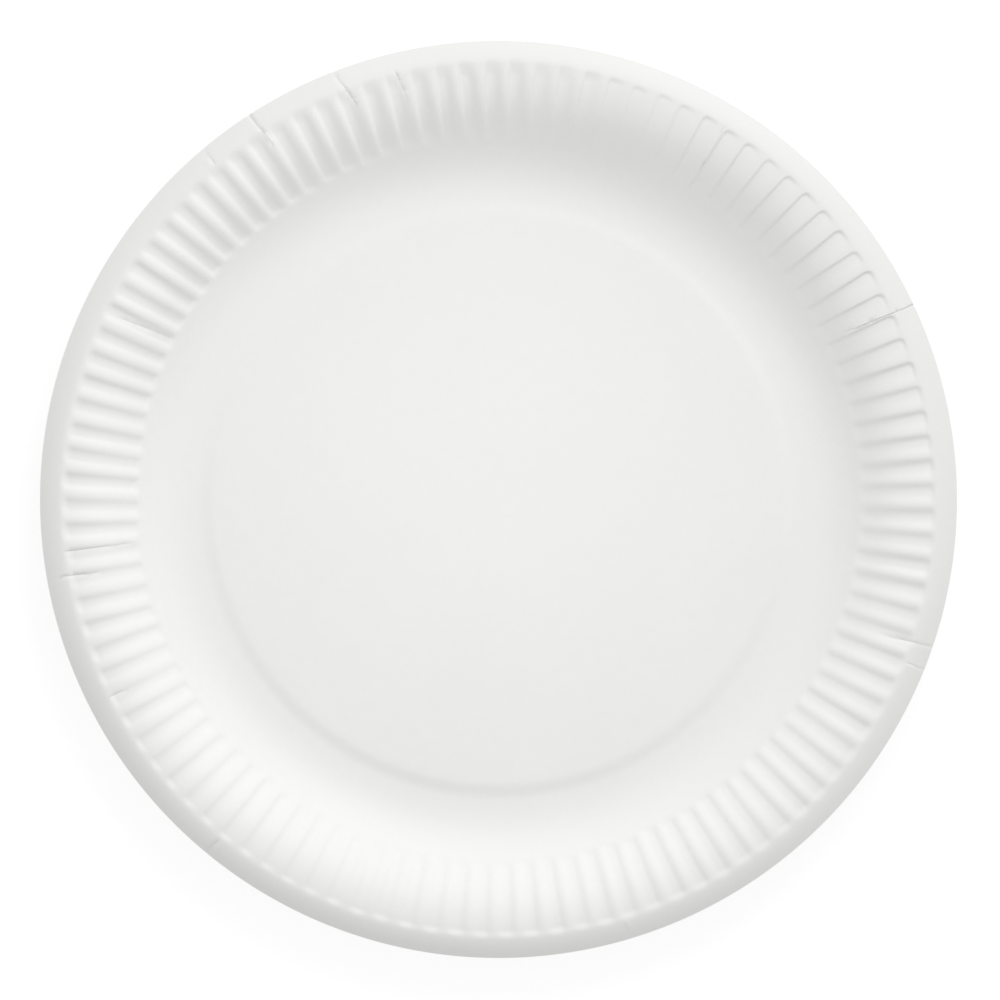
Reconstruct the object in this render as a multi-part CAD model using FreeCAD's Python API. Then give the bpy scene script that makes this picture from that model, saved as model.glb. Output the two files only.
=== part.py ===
"""Paper plate, 23 cm: one blank of coated board, pressed to a shallow dish with a fluted rim.

Millimetres, +Z up. The origin is the centre of the plate, on the surface that it stands on.

The pressed section is one run of straight stages. From the middle outwards they are the floor, a small
step down, the level foot ring, the foot curve, the straight of the wall, the crest curve, the level crest
and a band that turns down to the edge. Between the foot curve and the crest the wall is pressed into
flutes: lands that stay flush with the wall, and flat-bottomed grooves between them that rise to nothing
at both ends. The board has one thickness, so the underside is the same form, one board lower.
"""

import FreeCAD, Part
import math
import os

# Outline and board
plate_diameter = 230.0
board = 0.42

# Widths of the section in plan, from the edge inwards
rim_width = 4.9  # the band that turns down
crest_width = 0.6
flute_length = 19.2
foot_curve_width = 14.4
foot_width = 1.7
step_width = 2.9

# Slopes and heights of the section, in degrees and millimetres
wall_angle = 38.3
straight_width = 6.6  # the part of the flutes' length, in plan, where the wall runs straight
rim_start_angle = 12.0
rim_end_angle = 48.0
floor_rise = 0.42

# Flutes
flute_count = 108
flute_depth = 0.7
land_share = 0.28  # of the pitch
bottom_share = 0.24  # of the pitch, the rest being the two flanks of the groove
inner_ramp = 2.0  # in plan, over which a groove comes to its depth
outer_ramp = 1.7
first_groove_angle = 0.95

# Straight stages that each curve of the section is pressed in
foot_curve_stages = 3
crest_curve_stages = 2
rim_stages = 2

CENTRE = FreeCAD.Vector(0, 0, 0)
UP = FreeCAD.Vector(0, 0, 1)

pitch = 2 * math.pi / flute_count
groove_half = pitch * (1 - land_share) / 2
bottom_half = pitch * bottom_share / 2


def bend(start, width, first_slope, last_slope, stages):
    """Corners of a round bend in the section, which leads on from a corner, with a slope at each end."""
    radius = width / (math.sin(last_slope) - math.sin(first_slope))
    corners = []
    for stage in range(1, stages + 1):
        slope = first_slope + (last_slope - first_slope) * stage / stages
        out = start[0] + radius * (math.sin(slope) - math.sin(first_slope))
        height = start[1] + radius * (math.cos(first_slope) - math.cos(slope))
        corners.append((out, height))
    return corners


def onward(start, width, slope=0.0):
    """The corner where a straight stage ends."""
    return start[0] + width, start[1] + width * math.tan(slope)


def pressed_section():
    """The corners of the section on the board's upper side, as distances from the axis and heights.

    They come as four runs: the middle, the foot curve, the fluted wall and the band outside it.
    """
    wall_slope = math.radians(wall_angle)
    edge_radius = plate_diameter / 2
    crest_radius = edge_radius - rim_width - crest_width
    foot_radius = crest_radius - flute_length - foot_curve_width

    foot = [(foot_radius - foot_width, board), (foot_radius, board)]
    floor_edge = (foot[0][0] - step_width, board + floor_rise)
    middle = [(0.0, floor_edge[1]), floor_edge] + foot

    foot_curve = bend(foot[1], foot_curve_width, 0.0, wall_slope, foot_curve_stages)

    flute_start = foot_curve.pop()
    straight_end = onward(flute_start, straight_width, wall_slope)
    crest_curve_width = flute_length - straight_width
    ramp_slope = math.asin(outer_ramp * math.sin(wall_slope) / crest_curve_width)
    crest_curve = bend(
        straight_end, crest_curve_width - outer_ramp, wall_slope, ramp_slope, crest_curve_stages
    )
    fluted = [flute_start, onward(flute_start, inner_ramp, wall_slope), straight_end] + crest_curve
    fluted += bend(fluted[-1], outer_ramp, ramp_slope, 0.0, 1)

    band = [onward(fluted[-1], crest_width)]
    rim_slopes = -math.radians(rim_start_angle), -math.radians(rim_end_angle)
    band += bend(band[0], rim_width, *rim_slopes, rim_stages)
    return middle, foot_curve, fluted, band


def lowered(corners, below):
    """A run of corners set so far below the upper side, square to each of its stages."""
    slopes = []
    for start, end in zip(corners, corners[1:]):
        slopes.append(math.atan2(end[1] - start[1], end[0] - start[0]))
    lowered_corners = []
    for corner, before, after in zip(corners, slopes[:1] + slopes, slopes + slopes[-1:]):
        square = (before + after) / 2
        reach = below / math.cos((after - before) / 2)
        out = corner[0] + reach * math.sin(square)
        lowered_corners.append((out, corner[1] - reach * math.cos(square)))
    return lowered_corners


def at(corner, angle=0.0):
    """A point of the section, turned about the plate's axis."""
    return FreeCAD.Vector(corner[0] * math.cos(angle), corner[0] * math.sin(angle), corner[1])


def line(start, end):
    return Part.LineSegment(start, end).toShape()


def circle(corner):
    return Part.Wire(Part.makeCircle(corner[0], FreeCAD.Vector(0, 0, corner[1])))


def many_sided(corner):
    """The closed line through a point of the section at the middle of every land."""
    points = [at(corner, (number + 0.5) * pitch) for number in range(flute_count)]
    return Part.makePolygon(points + points[:1])


def level_ring(outer, inner):
    return Part.makeFace([outer, inner], "Part::FaceMakerBullseye")


def cone(start, end):
    """A round stage of the section, all the way about the plate's axis."""
    return line(at(start), at(end)).revolve(CENTRE, UP, 360)


def flat(*points):
    return Part.Face(Part.makePolygon(list(points) + [points[0]]))


def twisted(start, end, other_start, other_end):
    """The face that a straight line leaves as it runs along two others, which don't lie in one plane."""
    return Part.makeRuledSurface(line(start, end), line(other_start, other_end))


def strip(start, end, first_angle, last_angle):
    """A stage of the section between two angles, straight across."""
    return flat(at(start, first_angle), at(end, first_angle), at(end, last_angle), at(start, last_angle))


def groove_end(outside, inside, bottom):
    """Where a groove and the land beside it run out to one line across the pitch, outside or inside."""
    corner, next_corner = at(outside, -pitch / 2), at(outside, pitch / 2)
    brink, next_brink = at(inside, -groove_half), at(inside, groove_half)
    low, next_low = at(bottom, -bottom_half), at(bottom, bottom_half)
    return [
        flat(corner, next_corner, next_low, low),
        flat(corner, brink, low),
        flat(next_corner, next_brink, next_low),
        flat(next_corner, next_brink, at(inside, pitch - groove_half)),
    ]


def one_pitch(foot_curve, fluted, bottom):
    """The faces of one groove, the land beside it and the foot curve inside them."""
    faces = []
    for start, end in zip(foot_curve, foot_curve[1:]):
        faces.append(strip(start, end, -pitch / 2, pitch / 2))
    for number in range(1, len(fluted) - 2):
        brink, brink_end = fluted[number], fluted[number + 1]
        low, low_end = bottom[number], bottom[number + 1]
        faces.append(strip(brink, brink_end, groove_half, pitch - groove_half))
        faces.append(strip(low, low_end, -bottom_half, bottom_half))
        for side in (-1, 1):
            along_brink = at(brink, side * groove_half), at(brink_end, side * groove_half)
            along_bottom = at(low, side * bottom_half), at(low_end, side * bottom_half)
            faces.append(twisted(*along_brink, *along_bottom))
    faces += groove_end(fluted[0], fluted[1], bottom[1])
    faces += groove_end(fluted[-1], fluted[-2], bottom[-2])
    return faces


def turned(faces, angle):
    copies = []
    for face in faces:
        copy = face.copy()
        copy.rotate(CENTRE, UP, math.degrees(angle))
        copies.append(copy)
    return copies


def sheet_side(below):
    """One side of the board: its upper side, or the underside one board below."""
    runs = pressed_section()
    whole = sum(runs, [])
    level = lowered(whole, below)
    deep = lowered(whole, below + flute_depth)
    middle_end = len(runs[0])
    fluted_start = middle_end + len(runs[1])
    fluted_end = fluted_start + len(runs[2])

    centre, floor_edge, foot_inner, foot_outer = level[:middle_end]
    foot_curve = level[middle_end - 1 : fluted_start + 1]
    fluted = level[fluted_start:fluted_end]
    band = level[fluted_end:]

    faces = [Part.Face(circle(floor_edge)), cone(floor_edge, foot_inner)]
    faces.append(level_ring(many_sided(foot_outer), circle(foot_inner)))
    pattern = one_pitch(foot_curve, fluted, deep[fluted_start:fluted_end])
    for number in range(flute_count):
        faces += turned(pattern, number * pitch)
    faces.append(level_ring(circle(band[0]), many_sided(fluted[-1])))
    for start, end in zip(band, band[1:]):
        faces.append(cone(start, end))
    return faces, band[-1]


def make_plate():
    upper, upper_edge = sheet_side(0.0)
    under, under_edge = sheet_side(board)
    shell = Part.makeCompound(upper + under + [cone(upper_edge, under_edge)])
    shell.sewShape()
    solid = Part.Solid(shell.Shells[0])
    if solid.Volume < 0:
        solid.reverse()
    solid.rotate(CENTRE, UP, first_groove_angle)
    return solid


plate = make_plate()
os.makedirs("parts", exist_ok=True)
plate.exportStep("parts/plate.step")
size = plate.BoundBox
print("plate", "valid" if plate.isValid() else "not valid", len(plate.Faces), "faces")
print("size", round(size.XLength, 2), round(size.YLength, 2), round(size.ZLength, 2), "mm")
print("lowest point", round(size.ZMin, 4), "volume", round(plate.Volume / 1000, 2), "cm3")
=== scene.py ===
"""Paper plate: one round of coated board, pressed to a shallow dish with a fluted rim."""

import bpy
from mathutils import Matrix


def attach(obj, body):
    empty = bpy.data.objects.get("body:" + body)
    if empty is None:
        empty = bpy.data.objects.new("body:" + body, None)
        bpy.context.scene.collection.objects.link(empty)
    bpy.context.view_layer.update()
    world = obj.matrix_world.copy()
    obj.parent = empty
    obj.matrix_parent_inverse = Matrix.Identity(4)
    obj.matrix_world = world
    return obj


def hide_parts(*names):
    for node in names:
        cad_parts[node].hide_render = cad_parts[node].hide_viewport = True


bl_info = {
    "name": "Paper Plate",
    "version": (1, 0, 0),
    "blender": (4, 5, 0),
    "location": "3D View > Sidebar > Plate",
    "description": "Presses a fluted paper plate out of coated board and sets it on a lit table",
    "category": "Add Mesh",
}

import math
import random
from typing import NamedTuple

import bmesh
import bpy
from bpy.props import FloatProperty, FloatVectorProperty, IntProperty, PointerProperty
from bpy.types import Operator, Panel, PropertyGroup
from mathutils import Vector

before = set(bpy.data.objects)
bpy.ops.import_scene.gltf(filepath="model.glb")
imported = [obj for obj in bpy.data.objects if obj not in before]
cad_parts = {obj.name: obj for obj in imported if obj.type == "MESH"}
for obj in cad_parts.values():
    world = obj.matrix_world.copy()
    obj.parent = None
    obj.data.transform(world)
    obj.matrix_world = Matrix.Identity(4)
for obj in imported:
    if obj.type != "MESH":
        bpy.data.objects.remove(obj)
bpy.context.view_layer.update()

MM = 0.001
CENTRE = (0.0, 0.0, 0.0)
UP = (0.0, 0.0, 1.0)
WHITE = (1, 1, 1, 1)

# Widths of the section in plan, from the edge inwards
RIM_WIDTH = 4.9 * MM
CREST_WIDTH = 0.6 * MM
FLUTE_LENGTH = 19.2 * MM
FOOT_WIDTH = 0.3 * MM
STEP_WIDTH = 4.4 * MM

# Slope of the section, in degrees, at distances from the axis in millimetres, from the foot to the cut edge
SLOPES = (
    (75.87, 0),
    (78.4, 3.2),
    (82, 12.2),
    (86.5, 27.3),
    (90.3, 38.8),
    (92.8, 43.5),
    (94.5, 44),
    (97, 37.7),
    (102.8, 17.7),
    (106.6, 5.5),
    (108.1, 0),
    (109.25, 0),
    (110.2, -13.7),
    (111, -18),
    (113.4, -29.2),
    (114.97, -34.8),
)
SLOPE_SAMPLES = 50

# Rings of the floor, as shares of its radius, how many stages the step has, and how many sides they all have
FLOOR_RINGS = (0, 0.15, 0.4, 0.7, 0.9, 0.97)
STEP_STAGES = 6
MIDDLE_SIDES = 216

# Rings of the foot curve and of the fluted band outside it, as distances from the axis in millimetres
CURVE_RINGS = (77.6, 79.2, 80.9, 82.7, 84.6, 86.5)
BAND_RINGS = (
    88.47, 89.07, 89.67, 90.27, 90.67, 91.07, 91.57, 92.27, 93.3, 94.8, 96.3, 97.8, 99.3, 100.8, 102.2,
    103.5, 104.7, 105.8, 106.6, 107.2, 107.7, 108.1, 108.45, 108.8, 109.15, 109.5, 109.9, 110.35, 110.9,
    112.1, 113.4, 114.97,
)

# The columns of one pitch of the band, as shares of it
COLUMNS = (0, 0.1, 0.18, 0.215, 0.245, 0.275, 0.31, 0.38, 0.5, 0.62, 0.7, 0.78, 0.87, 1)

# How near vertices are merged, and how near a vertex lies to the ring or the crease that it belongs to
DOUBLES = 0.02 * MM
NEAR = 0.05 * MM
ON_CREASE = 0.02 * MM

FIRST_GROOVE = math.radians(0.95)

# A groove has its full depth from this share of its length outwards, and its outer corners are this round
FULL_DEPTH_FROM = 1 / 1.3
CORNER = 2 * MM

# How much one groove differs from the next, as standard deviations: the drift of its line and its slant in
# degrees, its walls as a share of their width, its depth before it is limited to a range, and its ends in
# millimetres. The depth's range is a share of the depth.
SEED = 23
DRIFT_SPREAD = 0.05
SLANT_SPREAD = 0.14
WALL_SPREAD = 0.07
DEPTH_SPREAD = 0.35
DEPTH_RANGE = 0.24
OUTER_SPREAD = 0.12
INNER_SPREAD = 0.18

# Weights stop at 1, so a groove's depth and a crease's are stated as shares of these
DEEPEST_SHARE = 1.5
DEEPEST_CREASE = 0.5 * MM

# The grooves' turn sets in over this width inside them
TURN_RAMP = 1.5 * MM

# Shares of a crease's length over which it fades out inside and comes from half its depth outside, and how
# far past its ends a vertex may lie
INNER_FADE = 1 / 4
OUTER_FADE = 1 / 12
CREASE_SLACK = 0.02

SMOOTH_ANGLE = math.radians(55)

# The part of its range that a noise's values mostly lie in
NOISE_RANGE = (0.3, 0.7)

# The table's radius and colour, and its glow, which makes it white to the camera. The rest of what the
# camera sees of it is lit, and has the plate's shadow.
TABLE_RADIUS = 7.0
TABLE_COLOUR = (0.92, 0.92, 0.92, 1)
TABLE_GLOW = 1.1
GLOW_SHARE = 0.8

# What the picture shows across at the height of the cut edge, where its middle lies, and the camera's sensor
VIEW_WIDTH = 250.8 * MM
EDGE_HEIGHT = 12.2 * MM
VIEW_CENTRE = (0.376 * MM, -0.125 * MM)
SENSOR_WIDTH = 36


def clamp(value):
    return min(1.0, max(0.0, value))


def ease(share):
    """Runs smoothly from 0 to 1."""
    share = clamp(share)
    return share * share * (3 - 2 * share)


def wrapped(angle):
    """The same angle, within half a turn either way."""
    return (angle + math.pi) % (2 * math.pi) - math.pi


def between(rows, place):
    """A row for this place, between the two that lie round it. A row's first value is its place."""
    before, after = next(pair for pair in zip(rows, rows[1:]) if place <= pair[1][0])
    share = (place - before[0]) / (after[0] - before[0])
    return [low + (high - low) * share for low, high in zip(before, after)]


class Pressing(NamedTuple):
    """How the grooves are pressed at one angle of the plate. Places and widths are shares of the pitch."""

    angle: float
    left: float  # from the groove's line to the middle of its left wall
    left_wall: float  # the wall's width
    right: float
    right_wall: float
    depth: float  # as a share of the flutes' depth
    inside_depth: float  # at the inner end, as a share of the groove's depth
    inner_end: float  # in millimetres, over which it comes to its depth
    outer_end: float
    softer: float  # how much wider the walls are at the inner end
    slant: float  # in degrees, from the inner end to the crest
    past_crest: float  # in millimetres


# Round the plate, in degrees anticlockwise from +X
PRESSING = (
    Pressing(0, 0.275, 0.4, 0.3, 0.5, 1.08, 0.4, 2.4, 2.0, 0.25, 0, 0.6),
    Pressing(14, 0.26, 0.26, 0.3, 0.6, 0.98, 0.5, 2.4, 1.3, 0.4, 0, 0.3),
    Pressing(24, 0.24, 0.08, 0.3, 0.68, 0.82, 0.65, 2.4, 0.8, 1.0, 0, 0.1),
    Pressing(45, 0.24, 0.08, 0.3, 0.68, 0.74, 0.75, 2.4, 0.8, 1.0, 0, 0.05),
    Pressing(60, 0.245, 0.1, 0.3, 0.65, 0.6, 0.7, 4.0, 0.8, 0.8, 0, 0),
    Pressing(68, 0.26, 0.2, 0.28, 0.5, 0.5, 0.3, 6.0, 0.9, 0.3, 0, 0),
    Pressing(76, 0.26, 0.12, 0.28, 0.5, 0.7, 0.3, 6.0, 2.0, 0.3, 0, 0.5),
    Pressing(80, 0.26, 0.18, 0.28, 0.5, 1.12, 0.3, 6.0, 5.0, 0.3, 0, 1.5),
    Pressing(92, 0.26, 0.2, 0.28, 0.5, 1.5, 0.35, 4.5, 5.5, 0.2, 0, 1.6),
    Pressing(105, 0.265, 0.2, 0.275, 0.5, 1.35, 0.55, 3.0, 5.0, 0.1, 0, 1.4),
    Pressing(115, 0.275, 0.24, 0.275, 0.5, 1.22, 0.75, 1.8, 4.2, 0.1, 0, 1.1),
    Pressing(150, 0.275, 0.4, 0.27, 0.34, 1.06, 0.88, 1.3, 2.8, 0.1, 0.1, 0.6),
    Pressing(163, 0.285, 0.42, 0.25, 0.34, 1.02, 0.85, 1.3, 2.5, 0.1, -0.2, 0.5),
    Pressing(173, 0.3, 0.45, 0.235, 0.34, 1.0, 0.8, 1.3, 2.4, 0.1, -0.45, 0.5),
    Pressing(185, 0.31, 0.46, 0.23, 0.34, 0.98, 0.75, 1.3, 2.3, 0.1, -0.35, 0.5),
    Pressing(197, 0.3, 0.48, 0.222, 0.3, 0.84, 0.75, 1.3, 2.1, 0.1, -0.3, 0.3),
    Pressing(210, 0.29, 0.5, 0.217, 0.28, 0.68, 0.72, 1.4, 1.9, 0.1, -0.1, 0.3),
    Pressing(235, 0.27, 0.5, 0.215, 0.16, 0.48, 1.2, 2.5, 1.8, 0, 0, 0.3),
    Pressing(270, 0.325, 0.36, 0.25, 0.5, 0.7, 0.75, 3.0, 2.2, 0, 0, 0.6),
    Pressing(300, 0.34, 0.36, 0.25, 0.5, 0.68, 0.88, 1.4, 2.6, 0, 0, 1.2),
    Pressing(330, 0.31, 0.4, 0.27, 0.5, 0.92, 0.72, 1.6, 2.6, 0.1, 0, 1.2),
    Pressing(360, 0.275, 0.4, 0.3, 0.5, 1.08, 0.4, 2.4, 2.0, 0.25, 0, 0.6),
)


class Crease(NamedTuple):
    """A crease, from its outer end to its inner one, in degrees and millimetres, or a bump.

    A bump's depth is negative.
    """

    outer_angle: float
    outer: float
    inner_angle: float
    inner: float
    depth: float
    half_width: float

    def at(self, radius):
        """The crease's angle and its depth at this distance from the axis, or None past its ends."""
        share = (self.outer * MM - radius) / ((self.outer - self.inner) * MM)
        if not -CREASE_SLACK < share < 1 + CREASE_SLACK:
            return None
        angle = math.radians(self.outer_angle + (self.inner_angle - self.outer_angle) * share)
        fade = ease((1 - share) / INNER_FADE) * ease(0.5 + 0.5 * share / OUTER_FADE)
        return angle, self.depth * MM * fade


CREASES = (
    Crease(25.1, 114.9, 25.75, 95.5, 0.45, 0.22),
    Crease(58.65, 109.3, 58.55, 91.0, 0.16, 0.12),
    Crease(103.6, 110.2, 102.7, 102.5, 0.16, 0.12),
    Crease(111.2, 114.9, 109.5, 103.6, 0.2, 0.16),
    Crease(123.0, 114.9, 122.3, 103.5, 0.22, 0.16),
    Crease(130.0, 114.4, 130.3, 109.6, 0.12, 0.12),
    Crease(154.4, 104.5, 153.8, 91.0, 0.1, 0.14),
    Crease(186.9, 109.3, 186.75, 91.0, 0.14, 0.14),
    Crease(190.0, 111.6, 190.35, 101.6, 0.2, 0.16),
    Crease(207.0, 109.6, 207.0, 104.5, 0.1, 0.12),
    Crease(230.15, 114.4, 230.75, 109.9, 0.12, 0.12),
    Crease(286.9, 112.0, 286.9, 110.5, -0.28, 0.6),
    Crease(338.2, 114.0, 338.2, 109.4, 0.14, 0.24),
    Crease(341.25, 114.5, 340.5, 101.6, 0.2, 0.26),
)


class PlateSizes(PropertyGroup):
    """Sizes of the pressed sheet."""

    diameter: FloatProperty(
        name="Diameter", description="Across the cut edge", default=0.22994, unit="LENGTH"
    )
    board: FloatProperty(
        name="Board", description="Thickness of the board", default=0.00042, unit="LENGTH"
    )
    floor_rise: FloatProperty(
        name="Floor rise",
        description="How far the floor lies above the foot ring",
        default=0.000475,
        unit="LENGTH",
    )
    floor_tilt: FloatProperty(
        name="Floor tilt",
        description="How much higher the floor's edge lies at the front than in the middle",
        default=0.000275,
        unit="LENGTH",
    )
    height: FloatProperty(
        name="Height", description="Of the crest above the table", default=0.015008, unit="LENGTH"
    )
    flutes: IntProperty(name="Flutes", description="Number of flutes", default=108, min=24, max=108)
    flute_depth: FloatProperty(
        name="Flute depth",
        description="Depth of a groove near the rim",
        default=0.0007,
        unit="LENGTH",
    )
    flute_unevenness: FloatProperty(
        name="Unevenness",
        description="How much one flute differs from the next",
        default=1.0,
        min=0.0,
        max=2.0,
        subtype="FACTOR",
    )


class PlateFinish(PropertyGroup):
    """Colours of the board."""

    coat: FloatVectorProperty(
        name="Coated face",
        description="Colour of the upper face",
        default=(0.87, 0.868, 0.855),
        subtype="COLOR",
    )
    back: FloatVectorProperty(
        name="Underside",
        description="Colour of the uncoated face",
        default=(0.83, 0.82, 0.79),
        subtype="COLOR",
    )
    cut: FloatVectorProperty(
        name="Cut edge",
        description="Colour of the fibres at the cut edge",
        default=(0.8, 0.78, 0.74),
        subtype="COLOR",
    )


class PlateStage(PropertyGroup):
    """Table, lamps and camera."""

    fill: FloatProperty(name="Fill light", description="Light from all round", default=0.595, min=0.0)
    key: FloatProperty(
        name="Key light", description="Power of the large lamp at the side", default=24.7, min=0.0
    )
    top: FloatProperty(
        name="Top light", description="Power of the small lamp above", default=0.041, min=0.0
    )
    key_side: FloatProperty(
        name="Key side",
        description="Direction of the lamp, from +X",
        default=math.radians(69),
        subtype="ANGLE",
    )
    key_height: FloatProperty(
        name="Key height",
        description="Angle of the lamp above the table",
        default=math.radians(37),
        subtype="ANGLE",
    )
    lens: FloatProperty(name="Lens", description="Focal length, in millimetres", default=400.0, min=20.0)


def alone(obj=None):
    """Object mode, with only this object selected."""
    if bpy.context.mode != "OBJECT":
        bpy.ops.object.mode_set(mode="OBJECT")
    bpy.ops.object.select_all(action="DESELECT")
    if obj:
        obj.select_set(True)
        bpy.context.view_layer.objects.active = obj


def pick(obj, wanted):
    """In edit mode, selects the vertices whose place passes the test, with what lies between them."""
    mesh = bmesh.from_edit_mesh(obj.data)
    for vert in mesh.verts:
        vert.select = wanted(vert.co)
    mesh.select_flush_mode()
    bmesh.update_edit_mesh(obj.data)


def reach(place):
    """How far a place lies from the plate's axis."""
    return math.hypot(place.x, place.y)


def flute_pitch(sizes):
    """The angle from one flute to the next."""
    return 2 * math.pi / sizes.flutes


def crest_radius(sizes):
    """Where the flutes end and the level crest starts."""
    return sizes.diameter / 2 - RIM_WIDTH - CREST_WIDTH


def rise(start, end):
    """How much the section rises from one distance to another, in millimetres."""
    width = (end - start) / SLOPE_SAMPLES
    slopes = [between(SLOPES, start + width * (part + 0.5))[1] for part in range(SLOPE_SAMPLES)]
    return sum(math.tan(math.radians(slope)) for slope in slopes) * width


def plate_section(sizes):
    """The section's points on the upper side, in metres: those of the middle, and those of the band."""
    scale = sizes.diameter / 2 / BAND_RINGS[-1]
    foot = SLOPES[0][0]
    crest = max(distance for distance, degrees in SLOPES if degrees == 0)
    steepness = (sizes.height - sizes.board) / (rise(foot, crest) * scale)

    floor_edge = foot * scale - FOOT_WIDTH - STEP_WIDTH
    floor = sizes.board + sizes.floor_rise
    middle = [(floor_edge * share, floor) for share in FLOOR_RINGS]
    for stage in range(STEP_STAGES + 1):
        share = stage / STEP_STAGES
        drop = (1 - math.cos(math.pi * share)) / 2
        middle.append((floor_edge + STEP_WIDTH * share, floor - sizes.floor_rise * drop))
    middle.append((foot * scale, sizes.board))

    last, height = foot, sizes.board
    band = []
    for ring in CURVE_RINGS + BAND_RINGS:
        height += rise(last, ring) * steepness * scale
        run = middle if ring in CURVE_RINGS else band
        run.append((ring * scale, height))
        last = ring
    return middle, band


def draw_section(name, points):
    """A line of edges, extruded from point to point in the plane of the section."""
    alone()
    bpy.ops.mesh.primitive_plane_add(size=MM, location=(points[0][0], 0, points[0][1]))
    obj = bpy.context.object
    obj.name = name
    bpy.ops.object.transform_apply(location=True, rotation=False, scale=False)
    bpy.ops.object.mode_set(mode="EDIT")
    bpy.ops.mesh.select_all(action="SELECT")
    bpy.ops.mesh.merge(type="CENTER")
    for last, point in zip(points, points[1:]):
        step = (point[0] - last[0], 0, point[1] - last[1])
        bpy.ops.mesh.extrude_vertices_move(TRANSFORM_OT_translate={"value": step})
    return obj


def sweep(steps, angle, copies=False):
    """Spins all of the mesh about the plate's axis."""
    bpy.ops.mesh.select_all(action="SELECT")
    bpy.ops.mesh.spin(steps=steps, angle=angle, center=CENTRE, axis=UP, dupli=copies)


def merge_doubles():
    bpy.ops.mesh.select_all(action="SELECT")
    bpy.ops.mesh.remove_doubles(threshold=DOUBLES)


def blank_middle(points, sizes):
    """The floor, a little tilted, the step, the foot ring and the foot curve, all spun about the axis."""
    obj = draw_section("middle", points)
    sweep(MIDDLE_SIDES, 2 * math.pi)
    merge_doubles()
    bpy.ops.object.mode_set(mode="OBJECT")
    floor_edge = points[len(FLOOR_RINGS)][0]
    for vert in obj.data.vertices:
        level = 1 - ease((reach(vert.co) - floor_edge) / STEP_WIDTH)
        vert.co.z -= sizes.floor_tilt * level * vert.co.y / floor_edge
    return obj


def blank_band(points, sizes):
    """The wall and the rim: one pitch is spun column by column, and copied round the plate."""
    obj = draw_section("band", points)
    pitch = flute_pitch(sizes)
    bpy.ops.mesh.select_all(action="SELECT")
    bpy.ops.transform.rotate(value=-FIRST_GROOVE, orient_axis="Z", center_override=CENTRE)
    for column, next_column in zip(COLUMNS, COLUMNS[1:]):
        bpy.ops.mesh.spin(steps=1, angle=(column - next_column) * pitch, center=CENTRE, axis=UP)
    sweep(sizes.flutes - 1, pitch * (sizes.flutes - 1), copies=True)
    merge_doubles()
    bpy.ops.object.mode_set(mode="OBJECT")
    return obj


def join_rings(middle, band, inner, outer):
    """Makes one sheet of the two parts, with a ring of faces between them."""
    alone(band)
    middle.select_set(True)
    bpy.context.view_layer.objects.active = middle
    bpy.ops.object.join()
    bpy.ops.object.mode_set(mode="EDIT")
    pick(middle, lambda place: inner - NEAR < reach(place) < outer + NEAR)
    bpy.ops.mesh.bridge_edge_loops()
    bpy.ops.mesh.select_all(action="SELECT")
    bpy.ops.mesh.normals_make_consistent(inside=False)
    bpy.ops.object.mode_set(mode="OBJECT")
    if sum(face.normal.z for face in middle.data.polygons) < 0:
        bpy.ops.object.mode_set(mode="EDIT")
        bpy.ops.mesh.flip_normals()
        bpy.ops.object.mode_set(mode="OBJECT")
    return middle


class Groove:
    """One groove's own form, a little different from the next one's."""

    def __init__(self, angle, rng, unevenness, crest):
        self.middle = angle
        self.crest = crest
        form = Pressing(*between(PRESSING, math.degrees(angle) % 360))
        self.form = form
        self.drift = math.radians(rng.gauss(0, DRIFT_SPREAD)) * unevenness
        self.slant = math.radians(form.slant + rng.gauss(0, SLANT_SPREAD) * unevenness)
        self.left_wall = form.left_wall * (1 + rng.gauss(0, WALL_SPREAD) * unevenness)
        self.right_wall = form.right_wall * (1 + rng.gauss(0, WALL_SPREAD) * unevenness)
        deeper = clamp(0.5 + rng.gauss(0, DEPTH_SPREAD)) - 0.5
        self.depth = form.depth * (1 + deeper * DEPTH_RANGE * unevenness)
        self.outer = crest + (form.past_crest + rng.gauss(0, OUTER_SPREAD) * unevenness) * MM
        self.inner = crest - FLUTE_LENGTH + rng.gauss(0, INNER_SPREAD) * MM * unevenness

    def along(self, radius):
        """How far from the inner end to the crest this distance from the axis is."""
        return clamp((radius - self.inner) / (self.crest - self.inner))

    def turned(self, radius):
        """How far the groove's line is turned from its even place, at this distance from the axis."""
        return self.drift + self.slant * (self.along(radius) - 0.5)

    def share(self, radius, angle, pitch):
        """How deep the groove is at a place, as a share of the flutes' depth."""
        form = self.form
        grown = ease(self.along(radius) / FULL_DEPTH_FROM)
        growth = form.inside_depth + (1 - form.inside_depth) * grown
        soft = 1 + form.softer * (1 - grown)
        back = CORNER * clamp(1 - (self.outer - radius) / CORNER)
        drawn_in = (CORNER - math.sqrt(CORNER * CORNER - back * back)) / (pitch * radius)
        turn = wrapped(angle - self.middle - self.turned(radius)) / pitch
        left = ease((form.left - drawn_in - turn) / (self.left_wall * soft) + 0.5)
        right = ease((form.right - drawn_in + turn) / (self.right_wall * soft) + 0.5)
        outer_end = ease((self.outer - radius) / (form.outer_end * MM))
        inner_end = ease((radius - self.inner) / (form.inner_end * MM))
        return left * right * outer_end * inner_end * growth * self.depth


def make_grooves(sizes):
    rng = random.Random(SEED)
    grooves = []
    for number in range(sizes.flutes):
        angle = FIRST_GROOVE + number * flute_pitch(sizes)
        grooves.append(Groove(angle, rng, sizes.flute_unevenness, crest_radius(sizes)))
    return grooves


def band_vertices(obj, radii):
    """The band's vertices, each with its distance from the axis and its angle."""
    for vert in obj.data.vertices:
        radius = reach(vert.co)
        if radius > radii[0] - NEAR:
            yield vert, radius, math.atan2(vert.co.y, vert.co.x)


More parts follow.
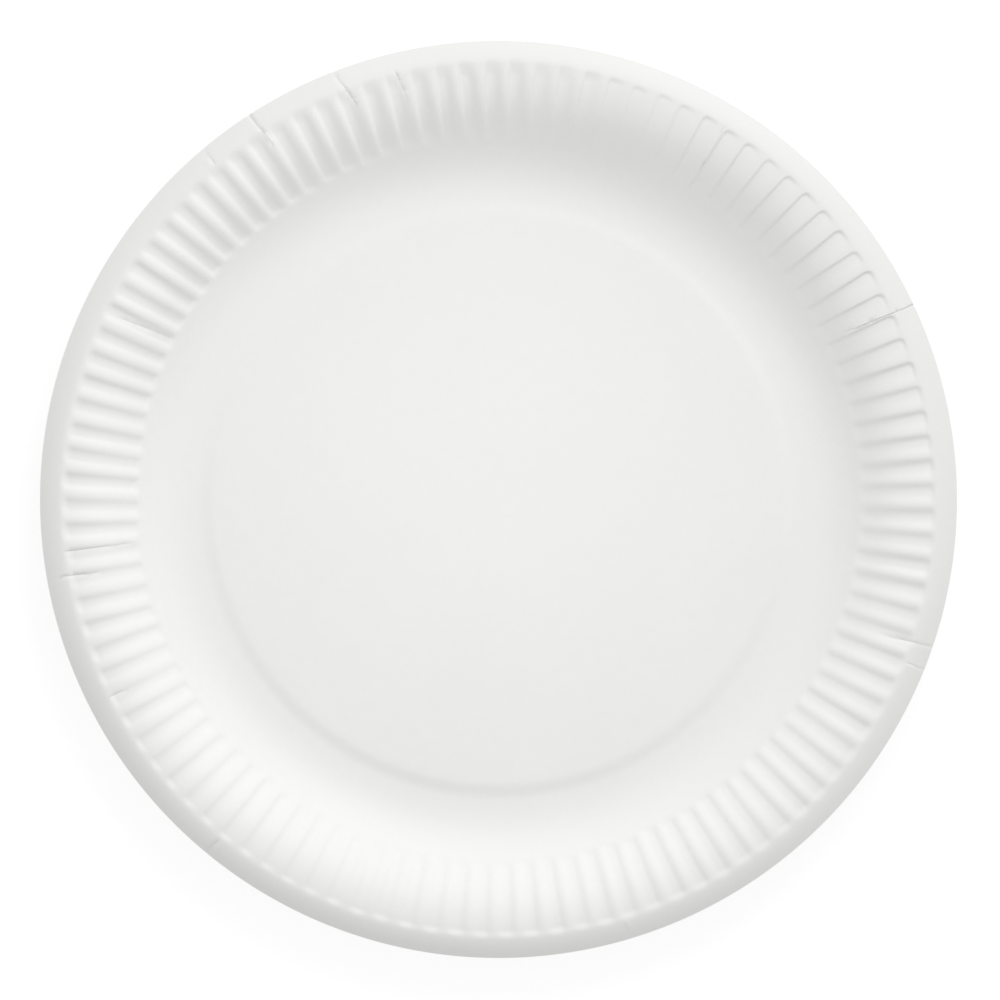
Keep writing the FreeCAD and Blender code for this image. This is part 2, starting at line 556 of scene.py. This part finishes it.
def slide_columns(obj, sizes, grooves, radii):
    """Turns each column of the band to follow its flute, and draws three together along each crease."""
    crest = crest_radius(sizes)
    rings = {}
    for vert, radius, angle in band_vertices(obj, radii):
        place = (angle - FIRST_GROOVE) / flute_pitch(sizes)
        before = math.floor(place)
        share = place - before
        first, second = grooves[before % sizes.flutes], grooves[(before + 1) % sizes.flutes]
        turn = first.turned(radius) * (1 - share) + second.turned(radius) * share
        inside = ease((radius - (crest - FLUTE_LENGTH - TURN_RAMP)) / TURN_RAMP)
        outside = 1 - ease((radius - crest) / (RIM_WIDTH + CREST_WIDTH))
        angle += turn * inside * outside
        number = min(range(len(radii)), key=lambda index: abs(radii[index] - radius))
        rings.setdefault(number, []).append([angle, radius, vert])
    for ring in rings.values():
        ring.sort(key=lambda entry: entry[0])
        radius = ring[0][1]
        for crease in CREASES:
            found = crease.at(radius)
            if not found:
                continue
            line = wrapped(found[0])
            nearest = min(range(len(ring)), key=lambda index: abs(ring[index][0] - line))
            for step in (-1, 0, 1):
                ring[(nearest + step) % len(ring)][0] = line + step * crease.half_width * MM / radius
        for angle, radius, vert in ring:
            vert.co.x, vert.co.y = radius * math.cos(angle), radius * math.sin(angle)


def press(obj, name, shares, depth):
    """Pushes the sheet in by this depth, times each vertex's share."""
    group = obj.vertex_groups.new(name=name)
    for index, share in shares.items():
        if share > 0:
            group.add([index], min(1, share), "REPLACE")
    push = obj.modifiers.new(name, "DISPLACE")
    push.vertex_group = name
    push.mid_level = 0
    push.strength = -depth
    push.direction = "NORMAL"
    alone(obj)
    bpy.ops.object.modifier_apply(modifier=name)


def press_flutes(obj, sizes, radii):
    """Presses the grooves, each a little unlike the next, and the creases and the bump of the rim."""
    pitch = flute_pitch(sizes)
    grooves = make_grooves(sizes)
    slide_columns(obj, sizes, grooves, radii)
    deep, creased, raised = {}, {}, {}
    for vert, radius, angle in band_vertices(obj, radii):
        number = round((angle - FIRST_GROOVE) / pitch)
        nearby = [grooves[(number + step) % sizes.flutes] for step in (-1, 0, 1)]
        deep[vert.index] = sum(groove.share(radius, angle, pitch) for groove in nearby) / DEEPEST_SHARE
        for crease in CREASES:
            found = crease.at(radius)
            if found and abs(wrapped(angle - found[0])) * radius < ON_CREASE:
                pressed = creased if found[1] > 0 else raised
                pressed[vert.index] = abs(found[1]) / DEEPEST_CREASE
    press(obj, "flutes", deep, sizes.flute_depth * DEEPEST_SHARE)
    press(obj, "creases", creased, DEEPEST_CREASE)
    press(obj, "bump", raised, -DEEPEST_CREASE)


def thicken(obj, sizes):
    """Gives the sheet the board's thickness, below the upper side.

    The underside takes the second material, and the cut edge the third.
    """
    solid = obj.modifiers.new("board", "SOLIDIFY")
    solid.thickness = sizes.board
    solid.offset = -1
    solid.use_quality_normals = True
    solid.material_offset = 1
    solid.material_offset_rim = 2
    alone(obj)
    bpy.ops.object.modifier_apply(modifier="board")
    bpy.ops.object.shade_smooth_by_angle(angle=SMOOTH_ANGLE)


class Nodes:
    """A material's nodes, added and joined by short calls."""

    def __init__(self, name):
        self.material = bpy.data.materials.new(name)
        self.material.use_nodes = True
        self.tree = self.material.node_tree
        self.tree.nodes.clear()
        self.shader = self.add("ShaderNodeBsdfPrincipled")
        output = self.add("ShaderNodeOutputMaterial")
        self.join(self.shader.outputs["BSDF"], output.inputs["Surface"])
        self.place = self.add("ShaderNodeTexCoord").outputs["Object"]

    def add(self, kind, **values):
        node = self.tree.nodes.new(kind)
        for name, value in values.items():
            setattr(node, name, value)
        return node

    def join(self, output, socket):
        self.tree.links.new(output, socket)

    def noise(self, size, detail, roughness=0.5, stretch=(1, 1, 1), distortion=0.0):
        """Noise whose patches are about this size, in metres."""
        mapping = self.add("ShaderNodeMapping")
        mapping.inputs["Scale"].default_value = stretch
        self.join(self.place, mapping.inputs["Vector"])
        node = self.add("ShaderNodeTexNoise")
        node.inputs["Scale"].default_value = 1 / size
        node.inputs["Detail"].default_value = detail
        node.inputs["Roughness"].default_value = roughness
        node.inputs["Distortion"].default_value = distortion
        self.join(mapping.outputs["Vector"], node.inputs["Vector"])
        return node.outputs["Fac"]

    def spread(self, value, low, high):
        """A noise's values, stretched to run from low to high."""
        node = self.add("ShaderNodeMapRange")
        node.inputs["From Min"].default_value = NOISE_RANGE[0]
        node.inputs["From Max"].default_value = NOISE_RANGE[1]
        node.inputs["To Min"].default_value = low
        node.inputs["To Max"].default_value = high
        self.join(value, node.inputs["Value"])
        return node.outputs["Result"]

    def tint(self, colour, shares):
        """Colours the surface, lightened or darkened by values round 1."""
        current = None
        for share in shares:
            node = self.add("ShaderNodeVectorMath", operation="SCALE")
            if current is None:
                node.inputs[0].default_value = colour
            else:
                self.join(current, node.inputs[0])
            self.join(share, node.inputs["Scale"])
            current = node.outputs["Vector"]
        self.join(current, self.shader.inputs["Base Color"])

    def gloss(self, roughness, level):
        """Sets how rough the surface is and how strongly it reflects."""
        self.join(roughness, self.shader.inputs["Roughness"])
        self.shader.inputs["Specular IOR Level"].default_value = level

    def relief(self, layers):
        """Bumps of a value and a depth in metres each, laid on one another."""
        normal = None
        for value, depth in layers:
            node = self.add("ShaderNodeBump")
            node.inputs["Strength"].default_value = 1
            node.inputs["Distance"].default_value = depth
            self.join(value, node.inputs["Height"])
            if normal:
                self.join(normal, node.inputs["Normal"])
            normal = node.outputs["Normal"]
        self.join(normal, self.shader.inputs["Normal"])


def coated_face(colour):
    """Clay-coated board: nearly smooth, with the fibres of the sheet faintly below the coating."""
    nodes = Nodes("coated face")
    cloud = nodes.noise(0.035, detail=3)
    mottle = nodes.noise(0.0026, detail=3)
    fibre = nodes.noise(0.0005, detail=3, roughness=0.6, distortion=1.2)
    speck = nodes.noise(0.00018, detail=1)
    shares = [
        nodes.spread(cloud, 0.994, 1.004),
        nodes.spread(mottle, 0.994, 1.006),
        nodes.spread(fibre, 0.992, 1.005),
    ]
    nodes.tint(colour, shares)
    nodes.gloss(nodes.spread(mottle, 0.52, 0.64), level=0.35)
    nodes.relief([(mottle, 0.000008), (fibre, 0.000004), (speck, 0.0000015)])
    return nodes.material


def uncoated_face(colour):
    """The back of the board: bare pressed fibres."""
    nodes = Nodes("uncoated face")
    cloud = nodes.noise(0.02, detail=3)
    felt = nodes.noise(0.0012, detail=4, roughness=0.65, distortion=0.8)
    fibre = nodes.noise(0.0003, detail=3, roughness=0.7, distortion=2.0)
    shares = [
        nodes.spread(cloud, 0.985, 1.01),
        nodes.spread(felt, 0.98, 1.015),
        nodes.spread(fibre, 0.975, 1.015),
    ]
    nodes.tint(colour, shares)
    nodes.gloss(nodes.spread(felt, 0.78, 0.92), level=0.25)
    nodes.relief([(felt, 0.00003), (fibre, 0.00001)])
    return nodes.material


def cut_face(colour):
    """The cut edge: layers of fibres that lie along the sheet."""
    nodes = Nodes("cut edge")
    layers = nodes.noise(0.0004, detail=3, roughness=0.7, stretch=(0.5, 0.5, 6))
    fibre = nodes.noise(0.00012, detail=2, roughness=0.7)
    nodes.tint(colour, [nodes.spread(layers, 0.95, 1.02), nodes.spread(fibre, 0.97, 1.02)])
    nodes.gloss(nodes.spread(layers, 0.85, 0.97), level=0.2)
    nodes.relief([(layers, 0.00004), (fibre, 0.00002)])
    return nodes.material


class PLATE_OT_press(Operator):
    """Presses the plate out of one round of board"""

    bl_idname = "plate.press"
    bl_label = "Press plate"

    def execute(self, context):
        sizes = context.scene.plate_sizes
        finish = context.scene.plate_finish
        middle_points, band_points = plate_section(sizes)
        radii = [point[0] for point in band_points]
        middle = blank_middle(middle_points, sizes)
        band = blank_band(band_points, sizes)
        plate = join_rings(middle, band, middle_points[-1][0], radii[0])
        plate.name = "pressed_plate"
        plate.data.name = "pressed_plate"
        press_flutes(plate, sizes, radii)
        for material in (coated_face(finish.coat), uncoated_face(finish.back), cut_face(finish.cut)):
            plate.data.materials.append(material)
        thicken(plate, sizes)
        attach(plate, "root")
        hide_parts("plate")
        return {"FINISHED"}


def seen_directly(tree):
    """A value that is 1 where the camera or a reflection sees a surface, and 0 for the light it sheds."""
    path = tree.nodes.new("ShaderNodeLightPath")
    either = tree.nodes.new("ShaderNodeMath")
    either.operation = "MAXIMUM"
    tree.links.new(path.outputs["Is Camera Ray"], either.inputs[0])
    tree.links.new(path.outputs["Is Glossy Ray"], either.inputs[1])
    return either.outputs["Value"]


def show_mix(tree, share, first, second, output):
    """Puts out two shaders mixed, with this share of the second."""
    mix = tree.nodes.new("ShaderNodeMixShader")
    tree.links.new(share, mix.inputs["Fac"])
    tree.links.new(first, mix.inputs[1])
    tree.links.new(second, mix.inputs[2])
    tree.links.new(mix.outputs["Shader"], output.inputs["Surface"])


def table_top():
    """The pale table: white to the camera, but for part of the plate's soft shadow."""
    alone()
    bpy.ops.mesh.primitive_circle_add(vertices=96, radius=TABLE_RADIUS, fill_type="NGON", location=CENTRE)
    table = bpy.context.object
    table.name = "table"
    material = bpy.data.materials.new("table")
    material.use_nodes = True
    tree = material.node_tree
    tree.nodes.clear()
    output = tree.nodes.new("ShaderNodeOutputMaterial")
    lit = tree.nodes.new("ShaderNodeBsdfDiffuse")
    lit.inputs["Color"].default_value = TABLE_COLOUR
    glow = tree.nodes.new("ShaderNodeEmission")
    glow.inputs["Color"].default_value = WHITE
    glow.inputs["Strength"].default_value = TABLE_GLOW
    glowing = tree.nodes.new("ShaderNodeMath")
    glowing.operation = "MULTIPLY"
    glowing.inputs[1].default_value = GLOW_SHARE
    tree.links.new(seen_directly(tree), glowing.inputs[0])
    show_mix(tree, glowing.outputs["Value"], lit.outputs["BSDF"], glow.outputs["Emission"], output)
    table.data.materials.append(material)


def room_light(fill):
    """Even light from all round, white where the camera sees it."""
    world = bpy.data.worlds.new("room")
    bpy.context.scene.world = world
    world.use_nodes = True
    tree = world.node_tree
    tree.nodes.clear()
    output = tree.nodes.new("ShaderNodeOutputWorld")
    lighting = tree.nodes.new("ShaderNodeBackground")
    lighting.inputs["Color"].default_value = WHITE
    lighting.inputs["Strength"].default_value = fill
    white = tree.nodes.new("ShaderNodeBackground")
    white.inputs["Color"].default_value = WHITE
    white.inputs["Strength"].default_value = 1
    lighting_shader, white_shader = lighting.outputs["Background"], white.outputs["Background"]
    show_mix(tree, seen_directly(tree), lighting_shader, white_shader, output)


def soft_lamp(name, power, side, height, distance, width):
    """A square soft lamp that faces the plate."""
    level = math.cos(height)
    away = Vector((level * math.cos(side), level * math.sin(side), math.sin(height)))
    bpy.ops.object.light_add(type="AREA", location=away * distance)
    lamp = bpy.context.object
    lamp.name = name
    lamp.data.energy = power
    lamp.data.size = width
    lamp.rotation_euler = away.to_track_quat("Z", "Y").to_euler()
    lamp.visible_camera = False


def overhead_camera(lens):
    """Straight above the plate, so far off that it shows nearly in plan."""
    camera_data = bpy.data.cameras.new("camera")
    camera_data.lens = lens
    camera_data.sensor_width = SENSOR_WIDTH
    camera_data.clip_end = 100
    camera = bpy.data.objects.new("camera", camera_data)
    bpy.context.scene.collection.objects.link(camera)
    camera.location = (*VIEW_CENTRE, EDGE_HEIGHT + VIEW_WIDTH * lens / SENSOR_WIDTH)
    bpy.context.scene.camera = camera


class PLATE_OT_stage(Operator):
    """Sets out the table, the lamps and the camera"""

    bl_idname = "plate.stage"
    bl_label = "Set stage"

    def execute(self, context):
        stage = context.scene.plate_stage
        table_top()
        room_light(stage.fill)
        soft_lamp("key lamp", stage.key, stage.key_side, stage.key_height, distance=2.5, width=1.2)
        top_side, top_height = math.radians(100), math.radians(82)
        soft_lamp("top lamp", stage.top, top_side, top_height, distance=0.15, width=0.1)
        overhead_camera(stage.lens)
        context.scene.view_settings.view_transform = "Standard"
        return {"FINISHED"}


class PLATE_PT_sidebar(Panel):
    """The plate's sizes, colours and light"""

    bl_idname = "PLATE_PT_sidebar"
    bl_label = "Paper Plate"
    bl_space_type = "VIEW_3D"
    bl_region_type = "UI"
    bl_category = "Plate"

    def draw(self, context):
        scene = context.scene
        for group in (scene.plate_sizes, scene.plate_finish):
            for name in group.__annotations__:
                self.layout.prop(group, name)
        self.layout.operator("plate.press")
        for name in scene.plate_stage.__annotations__:
            self.layout.prop(scene.plate_stage, name)
        self.layout.operator("plate.stage")


CLASSES = (PlateSizes, PlateFinish, PlateStage, PLATE_OT_press, PLATE_OT_stage, PLATE_PT_sidebar)


def register():
    for cls in CLASSES:
        bpy.utils.register_class(cls)
    bpy.types.Scene.plate_sizes = PointerProperty(type=PlateSizes)
    bpy.types.Scene.plate_finish = PointerProperty(type=PlateFinish)
    bpy.types.Scene.plate_stage = PointerProperty(type=PlateStage)


def unregister():
    del bpy.types.Scene.plate_stage
    del bpy.types.Scene.plate_finish
    del bpy.types.Scene.plate_sizes
    for cls in reversed(CLASSES):
        bpy.utils.unregister_class(cls)


def main():
    register()
    bpy.ops.plate.press()
    bpy.ops.plate.stage()


if __name__ == "__main__":
    main()
